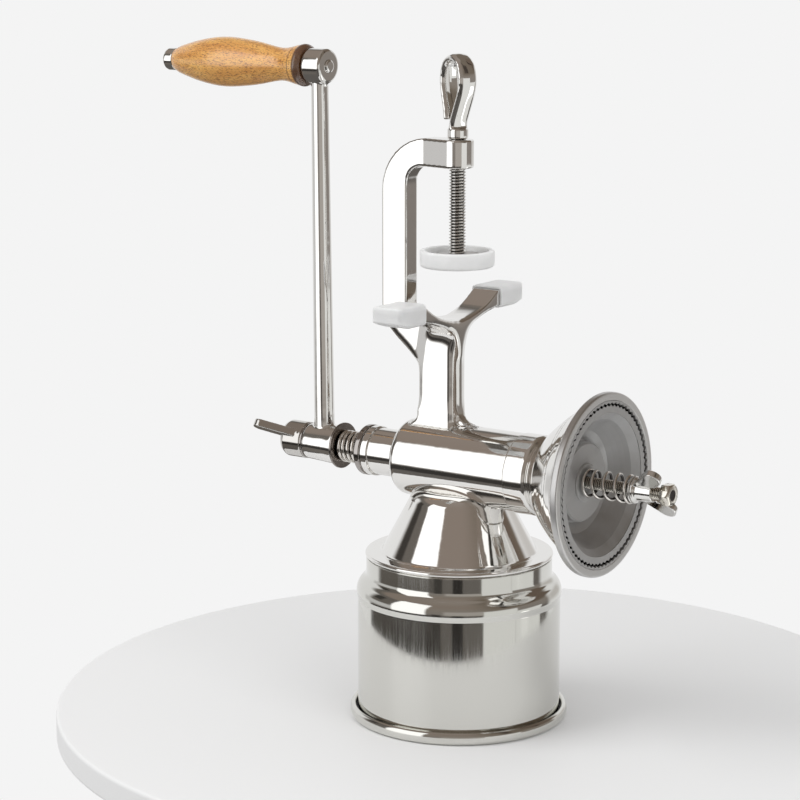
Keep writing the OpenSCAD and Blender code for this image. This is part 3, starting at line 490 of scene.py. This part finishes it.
def lathe(outlines, place, steps=ROUND):
    """Mesh turned from (radius, along) outlines about the Z axis of a place."""
    made = bmesh.new()
    for points, closed in outlines:
        rings = []
        for p in points:
            if p.x < 1e-6:
                rings.append([made.verts.new((0, 0, p.y))] * steps)
            else:
                turns = (2 * math.pi * k / steps for k in range(steps))
                rings.append([made.verts.new((p.x * math.cos(a), p.x * math.sin(a), p.y))
                              for a in turns])
        pairs = list(zip(rings, rings[1:])) + ([(rings[-1], rings[0])] if closed else [])
        for low, high in pairs:
            for k in range(steps):
                m = (k + 1) % steps
                corners = list(dict.fromkeys((low[k], low[m], high[m], high[k])))
                if len(corners) > 2:
                    made.faces.new(corners)
    bmesh.ops.transform(made, matrix=place, verts=made.verts)
    return finished(made)


def finished(made):
    """Mesh from a bmesh, with its faces turned outwards."""
    bmesh.ops.remove_doubles(made, verts=made.verts, dist=1e-7)
    bmesh.ops.dissolve_degenerate(made, edges=made.edges, dist=1e-8)
    bmesh.ops.recalc_face_normals(made, faces=made.faces)
    mesh = bpy.data.meshes.new("mesh")
    made.to_mesh(mesh)
    made.free()
    return mesh


def turned_like(node, place, edge, angle):
    """Fine mesh of a turned node, its edges broken by a radius."""
    outlines = profile_of(node, place, angle)
    return lathe([(rounded(points, closed, edge), closed) for points, closed in outlines], place)


def evaluated(made):
    """Mesh of an object with its modifiers."""
    return bpy.data.meshes.new_from_object(made.evaluated_get(bpy.context.evaluated_depsgraph_get()))


def applied(made):
    """Mesh of an object with its modifiers; the object is deleted."""
    mesh = evaluated(made)
    bpy.data.objects.remove(made)
    return mesh


def soften(made, passes, group=""):
    """Smooths an object, or a vertex group of it."""
    smooth = made.modifiers.new("soften", "SMOOTH")
    smooth.factor = 0.5
    smooth.iterations = passes
    smooth.vertex_group = group


def cast_like(node, voxel, passes):
    """Soft-edged mesh of a cast or forged node: remeshed at one voxel size and smoothed."""
    made = bpy.data.objects.new("casting", NODES[node].data.copy())
    SCENE.collection.objects.link(made)
    remesh = made.modifiers.new("remesh", "REMESH")
    remesh.mode = "VOXEL"
    remesh.voxel_size = voxel
    soften(made, passes)
    return applied(made)


def flowed(mesh, share, passes):
    """A mesh smoothed much more where share(place) is above 0, as a foundry pattern's joins are."""
    made = bpy.data.objects.new("flowing", mesh)
    SCENE.collection.objects.link(made)
    group = made.vertex_groups.new(name="joins")
    for vertex in mesh.vertices:
        weight = share(vertex.co)
        if weight > 0:
            group.add([vertex.index], weight, "REPLACE")
    soften(made, passes, "joins")
    return applied(made)


def window(value, low, high, soft):
    """One inside a range, falling to zero over a soft distance at each end."""
    return max(0.0, min(1.0, (value - low) / soft, (high - value) / soft))


def tube(path, section):
    """Mesh of a closed section of (side, up) pairs swept along (centre, side, up) frames."""
    made = bmesh.new()
    rings = [[made.verts.new(centre + side * s + up * u) for s, u in section]
             for centre, side, up in path]
    count = len(section)
    for low, high in zip(rings, rings[1:]):
        for k in range(count):
            m = (k + 1) % count
            made.faces.new((low[k], low[m], high[m], high[k]))
    made.faces.new(rings[0])
    made.faces.new(rings[-1])
    return finished(made)


def circle_section(radius):
    """Corners of a wire's round section."""
    turns = [2 * math.pi * k / 14 for k in range(14)]
    return [(radius * math.cos(a), radius * math.sin(a)) for a in turns]


def spring_like(node, turns, wire):
    """Round wire spring about the shaft with closed ends, in the space of its node."""
    low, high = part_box(node)
    steps = 40
    ring = (high.y - low.y) / 2 - wire / 2
    span = high.x - low.x - wire
    dead, ends, last = wire * 0.55, steps * 0.75, turns * steps
    path = []
    for i in range(last + 1):
        if i < ends:
            shift = dead * i / ends
        elif i > last - ends:
            shift = span - dead * (last - i) / ends
        else:
            shift = dead + (span - 2 * dead) * (i - ends) / (last - 2 * ends)
        a = 2 * math.pi * i / steps
        out = Vector((0, math.cos(a), math.sin(a)))
        centre = Vector((low.x + wire / 2 + shift, 0, AXIS_Z)) + out * ring
        path.append((centre, out, Vector((1, 0, 0))))
    return tube(path, circle_section(wire / 2))


def threaded(radius, low, high, pitch, depth, place):
    """Threaded rod between two heights along the Z axis of a place."""
    made = bmesh.new()
    around = 40
    shape = [0.0, 0.0, 0.5, 1.0, 1.0, 1.0, 0.5, 0.0]
    rows = len(shape)
    total = math.ceil((high - low) / pitch * rows) + 2 * rows
    rings = []
    for j in range(-rows, total - rows + 1):
        ring = []
        for k in range(around):
            z = min(max(low + (j / rows + k / around) * pitch, low), high)
            end = min(1.0, (z - low) / pitch, (high - z) / pitch)
            r = radius - depth + depth * end * shape[j % rows]
            a = 2 * math.pi * k / around
            ring.append(made.verts.new((r * math.cos(a), r * math.sin(a), z)))
        rings.append(ring)
    for j in range(len(rings) - 1):
        for k in range(around - 1):
            made.faces.new((rings[j][k], rings[j][k + 1], rings[j + 1][k + 1], rings[j + 1][k]))
        if j + rows + 1 < len(rings):
            made.faces.new((rings[j][-1], rings[j + rows][0],
                            rings[j + rows + 1][0], rings[j + 1][-1]))
    bmesh.ops.remove_doubles(made, verts=made.verts, dist=1e-7)
    bmesh.ops.holes_fill(made, edges=[e for e in made.edges if e.is_boundary], sides=0)
    bmesh.ops.transform(made, matrix=place, verts=made.verts)
    return finished(made)


# Pieces

def turned_pieces(steel, rubber):
    """Every piece made on a lathe, as a fine mesh of its node."""
    bell, spun, wood = bell_steel(), spun_steel(), varnished_wood()
    # Painted shade: the crank washer, the thrust collar and the lock washer get darker steel for the
    # seams between the parts
    washer_shade = satin_steel("washer_shade_steel", WASHER_SHADE_STEEL, 0.22)
    frosted = satin_steel("frosted_steel", FROSTED_STEEL, 0.5)
    seam_shade = polished_steel("seam_shade_steel", 0.12, SEAM_SHADE_STEEL)
    quarter = math.radians(90)
    jobs = [
        ("hopper", "hopper", "hopper_steel", spun, UPRIGHT, 0.4, 0),
        ("barrel", "housing", "polished_steel", steel, SHAFT, 0.6, 2 * quarter),
        ("grinding_bell", "housing", "polished_steel", bell, SHAFT, 0.5, quarter),
        ("shaft_bush", "housing", "polished_steel", steel, SHAFT, 2.2, quarter),
        ("thrust_collar", "shaft", "polished_steel", seam_shade, SHAFT, 2.4, quarter),
        ("crank_washer", "shaft", "polished_steel", washer_shade, SHAFT, 0.3, quarter),
        ("crank_lock_washer", "crank_nut_washer", "polished_steel", seam_shade, SHAFT, 0.25,
         quarter),
        ("grip", "grip", "wood", wood, GRIP_AXIS, 0.8, quarter),
        ("grip_pin", "shaft", "polished_steel", steel, GRIP_AXIS, 1.0, quarter),
        ("spring_seat", "adjust_washer", "polished_steel", steel, SHAFT, 0.3, quarter),
        ("pad_disc", "clamp_pad", "satin_steel", frosted, SCREW_AXIS, 0.4, 0),
        ("pad_cup", "clamp_pad", "silicone", rubber, SCREW_AXIS, 0.5, 0),
    ]
    for node, body, slot_name, material, place, edge, angle in jobs:
        mesh = turned_like(node, place, edge * MM, angle)
        piece(mesh, node + "_fine", body, slot_name, material, node)


def feed_funnel(steel):
    """The funnel is turned, then cut to the barrel that it carries."""
    mesh = turned_like("feed_funnel", UPRIGHT, 0.5 * MM, math.radians(90))
    made = piece(mesh, "feed_funnel_fine", "housing", "polished_steel", steel, "feed_funnel")
    bore = bmesh.new()
    bmesh.ops.create_cone(bore, cap_ends=True, segments=ROUND, radius1=BARREL_R,
                          radius2=BARREL_R, depth=0.3)
    bmesh.ops.transform(bore, matrix=SHAFT, verts=bore.verts)
    cutter = bpy.data.objects.new("cutter", finished(bore))
    SCENE.collection.objects.link(cutter)
    cut = made.modifiers.new("cut", "BOOLEAN")
    cut.operation = "DIFFERENCE"
    cut.object = cutter
    made.data = evaluated(made)
    made.modifiers.clear()
    bpy.data.objects.remove(cutter)


def spread_foot(mesh, reach):
    """Spreads the foot of the post over the barrel in a hollow fillet."""
    for vertex in mesh.vertices:
        out = Vector((0, vertex.co.y, vertex.co.z - AXIS_Z))
        rise = out.length - BARREL_R
        if rise > reach or vertex.co.z < AXIS_Z:
            continue
        out.normalize()
        level = vertex.normal - out * vertex.normal.dot(out)
        if level.length < 0.35:
            continue
        rise = max(rise, 0)
        push = reach - math.sqrt(reach ** 2 - (reach - rise) ** 2)
        moved = vertex.co + level.normalized() * push
        line = Vector((0, moved.y, moved.z - AXIS_Z)).normalized() * (BARREL_R + rise)
        vertex.co = Vector((moved.x, line.y, line.z + AXIS_Z))


def true_rod(mesh, low, high):
    """Makes the crank's rod an exact cone between two heights, without the remesh's steps."""
    ends = []
    for height in (low + 20 * MM, high - 20 * MM):
        near = [vertex.co for vertex in mesh.vertices if abs(vertex.co.z - height) < 1.5 * MM]
        middle = sum(at.x for at in near) / len(near)
        radius = sum(math.hypot(at.x - middle, at.y) for at in near) / len(near)
        ends.append((height, middle, radius))
    (z0, x0, r0), (z1, x1, r1) = ends
    for vertex in mesh.vertices:
        share = window(vertex.co.z, low, high, 5 * MM)
        if share > 0:
            t = (vertex.co.z - z0) / (z1 - z0)
            middle = x0 + (x1 - x0) * t
            out = Vector((vertex.co.x - middle, vertex.co.y, 0)).normalized()
            out *= r0 + (r1 - r0) * t
            vertex.co = vertex.co.lerp(Vector((middle + out.x, out.y, vertex.co.z)), share)


def cast_pieces(steel, rubber):
    """Every cast, forged or moulded piece, with soft edges."""
    pad_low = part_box("saddle_pad_front")[0].z

    def at_joins(at):
        """One where the post meets the saddle arms and the barrel."""
        post = window(at.z, pad_low - 48 * MM, pad_low + 2 * MM, 6 * MM)
        return post * window(abs(at.y), -1.0, 30 * MM, 6 * MM)

    frame_mesh = flowed(cast_like("clamp_frame", 0.6 * MM, 8), at_joins, 120)
    spread_foot(frame_mesh, 3.5 * MM)
    piece(frame_mesh, "clamp_frame_fine", "housing", "polished_steel", steel, "clamp_frame")
    arm = cast_like("crank_arm", 0.45 * MM, 5)
    true_rod(arm, AXIS_Z + 14 * MM, GRIP_Z - 14 * MM)
    piece(arm, "crank_arm_fine", "shaft", "polished_steel", steel, "crank_arm")
    grey = polished_steel("grey_steel", 0.1, GREY_STEEL)
    jobs = [
        ("crank_wing_nut", "crank_nut", 0.35, 6, grey),
        ("adjust_wing_nut", "adjust_nut", 0.25, 5, steel),
        ("clamp_loop", "clamp_screw", 0.4, 18, steel),
    ]
    for node, body, voxel, passes, material in jobs:
        mesh = cast_like(node, voxel * MM, passes)
        piece(mesh, node + "_fine", body, "polished_steel", material, node)
    for node in ("saddle_pad_front", "saddle_pad_back"):
        mesh = cast_like(node, 0.4 * MM, 8)
        piece(mesh, node + "_fine", "housing", "silicone", rubber, node)


def spring_steel(node, wire):
    """Polished wire, with shade painted on the side that faces the shaft."""
    low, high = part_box(node)
    outer = (high.y - low.y) / 2
    return shaded_steel(
        node + "_steel", 2, AXIS_Z, outer - 0.6 * wire, outer - 0.22 * wire, WIRE_STEEL)


def springs():
    """Both springs; the one on the burr is squeezed between the shaft and the adjusting washer."""
    turns, crank_wire, burr_wire = 5, 2.2 * MM, 1.7 * MM
    piece(spring_like("crank_spring", turns, crank_wire), "crank_spring_fine", "shaft",
          "spring_steel", spring_steel("crank_spring", crank_wire), "crank_spring")
    wire_steel = spring_steel("burr_spring", burr_wire)
    made = bpy.data.objects.new("burr_spring_fine", spring_like("burr_spring", turns, burr_wire))
    SCENE.collection.objects.link(made)
    made.data.materials.append(wire_steel)
    for face in made.data.polygons:
        face.use_smooth = True
    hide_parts("burr_spring")
    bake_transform(made)


def clamp_screw():
    """Clamp screw with a real thread."""
    low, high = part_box("clamp_screw")
    radius = (high.y - low.y) / 2
    root = radius - CLAMP_THREAD
    # The thread's roots get painted shade
    steel = shaded_steel(
        "thread_steel", 0, SCREW_X, root, root + 0.45 * CLAMP_THREAD, THREAD_STEEL)
    mesh = threaded(radius, low.z, high.z, CLAMP_PITCH, CLAMP_THREAD, SCREW_AXIS)
    piece(mesh, "clamp_screw_fine", "clamp_screw", "polished_steel", steel, "clamp_screw")


def adjust_bolt():
    """Hexagon bolt with a real thread and a chamfered head."""
    low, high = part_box("adjust_bolt")
    half = (high.y - low.y) / 2
    head = high.x - BOLT_HEAD
    shank = threaded(BOLT_R, low.x, head + 0.2 * MM, BOLT_PITCH, BOLT_THREAD, SHAFT)
    made = bmesh.new()
    made.from_mesh(shank)
    corner = half / math.cos(math.radians(30))
    rings = [(corner * 0.84, head), (corner, head + 0.5 * MM), (corner, high.x - 0.9 * MM),
             (corner * 0.86, high.x), (corner * 0.5, high.x - 0.05 * MM)]
    around = 72
    loops = []
    for radius, x in rings:
        loop = []
        for k in range(around):
            a = 2 * math.pi * k / around
            flat = half / math.cos((a + math.pi / 6) % (math.pi / 3) - math.pi / 6)
            reach = min(radius, flat)
            spot = Vector((reach * math.cos(a), reach * math.sin(a), x))
            loop.append(made.verts.new(SHAFT @ spot))
        loops.append(loop)
    for one, two in zip(loops, loops[1:]):
        for k in range(around):
            m = (k + 1) % around
            made.faces.new((one[k], one[m], two[m], two[k]))
    made.faces.new(loops[0])
    made.faces.new(loops[-1])
    # The thread's roots get painted shade
    steel = shaded_steel("bolt_steel", 2, AXIS_Z, 2.5 * MM, 2.85 * MM, BOLT_STEEL)
    piece(finished(made), "adjust_bolt_fine", "shaft", "satin_steel", steel, "adjust_bolt")


def dress_node(node, material):
    """Gives a node that keeps its own mesh a finished material."""
    mesh = NODES[node].data
    mesh.materials.clear()
    mesh.materials.append(material)
    mesh.shade_smooth()
    mesh.set_sharp_from_angle(angle=math.radians(28))


# Stage

def camera():
    """The camera of the photograph, fitted to its measured points."""
    made = bpy.data.objects.new("camera", bpy.data.cameras.new("camera"))
    SCENE.collection.objects.link(made)
    made.location = CAMERA_AT
    made.rotation_euler = (math.radians(90 - CAMERA_DOWN), 0, math.radians(CAMERA_YAW - 90))
    made.data.lens = CAMERA_LENS
    made.data.clip_start = 0.01
    SCENE.camera = made


def table():
    """Plain pale round table top."""
    radius, thick, edge = 0.216, 0.014, 0.002
    corners = [(0, 0), (radius, 0), (radius, -thick), (0, -thick)]
    outline = [Vector(corner) for corner in corners]
    middle = Matrix.Translation((-0.008, 0.0277, 0))
    mesh = lathe([(rounded(outline, False, edge), False)], middle, 192)
    made = bpy.data.objects.new("table", mesh)
    SCENE.collection.objects.link(made)
    white = surface("table_white", Base_Color=(0.86, 0.86, 0.86), Roughness=0.55)[0]
    made.data.materials.append(white)


def studio():
    """A warm grey room with pale panels, which shows in the steel, and a plain pale background."""
    world = bpy.data.worlds.new("studio")
    world.use_nodes = True
    SCENE.world = world
    tree = world.node_tree
    tree.nodes.clear()
    way = add(tree, "ShaderNodeTexCoord").outputs["Generated"]
    facing = math.radians(CAMERA_YAW - 90)
    inputs = {"Vector": way, "Angle": -facing}
    flat = add(tree, "ShaderNodeVectorRotate", inputs, rotation_type="Z_AXIS").outputs[0]
    split = add(tree, "ShaderNodeSeparateXYZ", {"Vector": flat}).outputs
    ahead = maths(tree, "MULTIPLY", split[1], -1.0)
    turn = maths(tree, "DEGREES", maths(tree, "ARCTAN2", split[0], ahead))
    rise = maths(tree, "DEGREES", maths(tree, "ARCSINE", split[2]))
    behind = remap(tree, maths(tree, "ABSOLUTE", turn), 112.0, 124.0)
    colour = ramp(tree, remap(tree, rise, -90.0, 90.0, smooth=False),
                  (0.0, (0.10, 0.095, 0.09)), (0.40, (0.13, 0.12, 0.11)),
                  (0.47, (0.25, 0.225, 0.205)), (0.6, (0.27, 0.235, 0.205)),
                  (0.74, (0.265, 0.218, 0.185)), (1.0, (0.30, 0.26, 0.23)))
    walls = [
        (remap(tree, turn, 0.0, 60.0), (14, 75), (0.175, 0.145, 0.115)),
        (remap(tree, turn, -74.0, -86.0), (-40, 40), (0.15, 0.135, 0.12)),
        (behind, (-26, 30), (0.86, 0.86, 0.86)),
    ]
    for wall, rises, shade in walls:
        share = maths(tree, "MULTIPLY", wall, between(tree, rise, softly(rises, 4)))
        colour = mixed(tree, share, colour, shade)
    for turns, rises, soft, shade in PANELS:
        share = maths(tree, "MULTIPLY", between(tree, turn, softly(turns, soft)),
                      between(tree, rise, softly(rises, soft)))
        colour = mixed(tree, share, colour, shade)
    path = add(tree, "ShaderNodeLightPath").outputs
    seen = add(tree, "ShaderNodeBackground", {"Color": (0.905, 0.905, 0.905, 1)}).outputs[0]
    mirrored = add(tree, "ShaderNodeBackground", {"Color": colour}).outputs[0]
    ambient = add(tree, "ShaderNodeBackground", {"Color": (0.62, 0.62, 0.62, 1)}).outputs[0]
    inputs = {0: path["Is Glossy Ray"], 1: ambient, 2: mirrored}
    soft = add(tree, "ShaderNodeMixShader", inputs).outputs[0]
    plain = maths(tree, "MAXIMUM", path["Is Camera Ray"], path["Is Transmission Ray"])
    both = add(tree, "ShaderNodeMixShader", {0: plain, 1: soft, 2: seen}).outputs[0]
    add(tree, "ShaderNodeOutputWorld", {"Surface": both})


def lamp(name, at, size, power):
    """Soft square lamp aimed at the middle of the object."""
    made = bpy.data.objects.new(name, bpy.data.lights.new(name, "AREA"))
    SCENE.collection.objects.link(made)
    made.location = at
    made.rotation_euler = (Vector((0, 0, 0.15)) - Vector(at)).to_track_quat("-Z", "Y").to_euler()
    made.data.size = size
    made.data.energy = power
    made.visible_glossy = False
    made.visible_camera = False


def main():
    camera()
    studio()
    table()
    lamp("key", (-0.9, -1.0, 1.5), 1.2, 16)
    lamp("fill", (1.2, -0.5, 1.0), 1.0, 6)
    steel = polished_steel("polished_steel", 0.05)
    cast_steel = polished_steel("cast_steel", 0.08)
    satin = satin_steel("satin_steel", SATIN_STEEL, 0.30)
    ground = burr_steel()
    rubber = silicone()
    turned_pieces(steel, rubber)
    feed_funnel(steel)
    cast_pieces(cast_steel, rubber)
    springs()
    clamp_screw()
    adjust_bolt()
    plain = (("fixed_burr", ground), ("rotor_burr", ground), ("auger", satin), ("crank_stud", satin))
    for node, material in plain:
        dress_node(node, material)
    SCENE.view_settings.view_transform = "Standard"


main()
